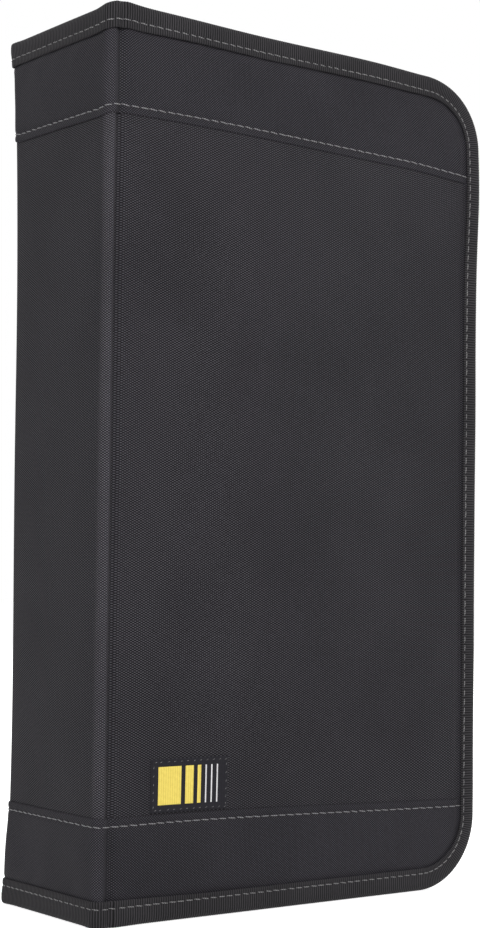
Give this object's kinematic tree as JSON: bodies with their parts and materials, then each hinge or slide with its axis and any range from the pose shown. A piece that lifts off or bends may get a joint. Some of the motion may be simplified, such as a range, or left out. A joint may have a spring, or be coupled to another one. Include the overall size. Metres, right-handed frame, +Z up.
{
  "type": "cd storage case",
  "caption": "Upright black nylon disc wallet: padded covers hinged on a flat spine, folded end bands, bound and stitched edges, a zip round three sides, disc leaves inside.",
  "frame": {"origin": "middle of the base, on the surface that the case stands on", "axes": "+Z up along the height, front cover facing -Y, spine at -X, zipped fore-edge at +X"},
  "size_m": [0.166, 0.064, 0.3],
  "materials": {
    "nylon": "plain woven nylon over padded board",
    "band_nylon": "finer plain woven nylon",
    "grosgrain": "ribbed grosgrain tape with light grey stitching",
    "tape": "woven zip tape",
    "coil": "nylon zip coil",
    "dark_metal": "black lacquered zinc",
    "leaves": "non-woven sheet with clear pockets",
    "label": "woven black patch with amber and white bars"
  },
  "bodies": {
    "spine": {"spine_panel": "nylon", "spine_top_band": "band_nylon", "spine_bottom_band": "band_nylon", "spine_top_binding": "grosgrain", "spine_bottom_binding": "grosgrain", "page_binding_strip": "tape", "page_block": "leaves", "zip_end_gusset_top": "nylon", "zip_end_gusset_bottom": "nylon", "zip_end_tape_top": "tape", "zip_end_tape_bottom": "tape", "zip_end_coil_top_front": "coil", "zip_end_coil_top_back": "coil", "zip_end_coil_bottom_front": "coil", "zip_end_coil_bottom_back": "coil", "zip_stop_top": "dark_metal", "zip_stop_bottom": "dark_metal"},
    "front_cover": {"front_cover_panel": "nylon", "front_top_band": "band_nylon", "front_bottom_band": "band_nylon", "front_binding": "grosgrain", "front_gusset": "nylon", "front_zip_tape": "tape", "front_zip_coil": "coil", "label_patch": "label"},
    "back_cover": {"back_cover_panel": "nylon", "back_top_band": "band_nylon", "back_bottom_band": "band_nylon", "back_binding": "grosgrain", "back_gusset": "nylon", "back_zip_tape": "tape", "back_zip_coil": "coil"},
    "slider": {"zip_slider": "dark_metal"},
    "pull": {"pull_tab": "dark_metal"}
  },
  "joints": [
    {"name": "front_cover_hinge", "type": "hinge", "parent": "spine", "child": "front_cover", "pos_m": [-0.0781, -0.032, 0], "axis": [0, 0, -1], "range_deg": [0, 100]},
    {"name": "back_cover_hinge", "type": "hinge", "parent": "spine", "child": "back_cover", "pos_m": [-0.0781, 0.032, 0], "axis": [0, 0, 1], "range_deg": [0, 100]},
    {"name": "zip_slide", "type": "slide", "parent": "spine", "child": "slider", "axis": [1, 0, 0], "range_m": [0, 0.115]},
    {"name": "pull_swing", "type": "hinge", "parent": "slider", "child": "pull", "pos_m": [-0.0663, 0, 0.29571], "axis": [0, -1, 0], "range_deg": [0, 150]}
  ]
}
